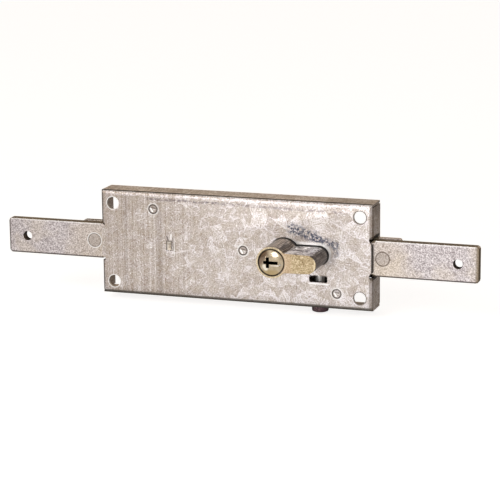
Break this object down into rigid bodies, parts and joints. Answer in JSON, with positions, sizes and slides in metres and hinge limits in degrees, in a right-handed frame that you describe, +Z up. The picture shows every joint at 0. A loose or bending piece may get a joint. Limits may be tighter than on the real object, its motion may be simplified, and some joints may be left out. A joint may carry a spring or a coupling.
{
  "type": "roller shutter lock",
  "caption": "Flat sheet-metal shutter lock with a profile half cylinder and two opposed sliding bolt bars drawn in by turning the plug.",
  "frame": {"origin": "centre of the front plate's outer face", "axes": "+X along the bolts, to the right as seen from the front; +Y into the case, so the front faces -Y; +Z up"},
  "size_m": [0.2686, 0.0408, 0.0613],
  "materials": {
    "galvanised_sheet": "hot-dip galvanised, faint spangle",
    "galvanised_cover": "galvanised",
    "zinc_plated_bolt": "sandy zinc plating with a faint yellow tint",
    "plain_steel": "plain steel",
    "body_brass": "satin brass, dulled on the sides",
    "plug_brass": "polished",
    "cam_steel": "sintered steel",
    "pin_brass": "turned",
    "spring_wire": "bright spring wire",
    "dark_screw": "dark, oiled"
  },
  "bodies": {
    "lock_case": {"case": "galvanised_sheet", "back_cover": "galvanised_cover", "upper_left_pillar": "plain_steel", "pivot_pillar": "plain_steel", "lower_right_pillar": "plain_steel", "pivot_spacer": "plain_steel", "pivot_washer": "plain_steel", "guide_lug": "plain_steel", "cylinder_body": "body_brass", "fixing_screw": "dark_screw", "driver_pin_1": "pin_brass", "pin_spring_1": "spring_wire", "driver_pin_2": "pin_brass", "pin_spring_2": "spring_wire", "driver_pin_3": "pin_brass", "pin_spring_3": "spring_wire", "driver_pin_4": "pin_brass", "pin_spring_4": "spring_wire", "driver_pin_5": "pin_brass", "pin_spring_5": "spring_wire"},
    "right_bolt": {"right_slide": "zinc_plated_bolt", "right_bolt_bar": "zinc_plated_bolt", "right_bolt_rivet": "zinc_plated_bolt"},
    "left_bolt": {"left_slide": "zinc_plated_bolt", "left_bolt_bar": "zinc_plated_bolt", "left_bolt_rivet": "zinc_plated_bolt"},
    "rocker": {"rocker": "plain_steel", "rocker_upper_pin": "plain_steel", "rocker_lower_pin": "plain_steel"},
    "plug": {"cylinder_plug": "plug_brass", "cylinder_cam": "cam_steel", "cam_clip": "spring_wire", "key_pin_1": "pin_brass", "key_pin_2": "pin_brass", "key_pin_3": "pin_brass", "key_pin_4": "pin_brass", "key_pin_5": "pin_brass"}
  },
  "joints": [
    {"name": "right_bolt_slide", "type": "slide", "parent": "lock_case", "child": "right_bolt", "axis": [1, 0, 0], "range_m": [-0.0171, 0]},
    {"name": "left_bolt_slide", "type": "slide", "parent": "lock_case", "child": "left_bolt", "axis": [-1, 0, 0], "range_m": [-0.0171, 0]},
    {"name": "rocker_swing", "type": "hinge", "parent": "lock_case", "child": "rocker", "pos_m": [0.005, 0.0111, 0], "axis": [0, 1, 0], "range_deg": [-60.5, 0]},
    {"name": "plug_turn", "type": "hinge", "parent": "lock_case", "child": "plug", "pos_m": [0.0285, 0, 0], "axis": [0, 1, 0], "range_deg": [-90, 0]}
  ],
  "couplings": [
    {"joint": "left_bolt_slide", "follows": "right_bolt_slide", "ratio": 1},
    {"joint": "rocker_swing", "follows": "right_bolt_slide", "rad_per_m": 61.64},
    {"joint": "plug_turn", "follows": "right_bolt_slide", "rad_per_m": 91.79}
  ]
}
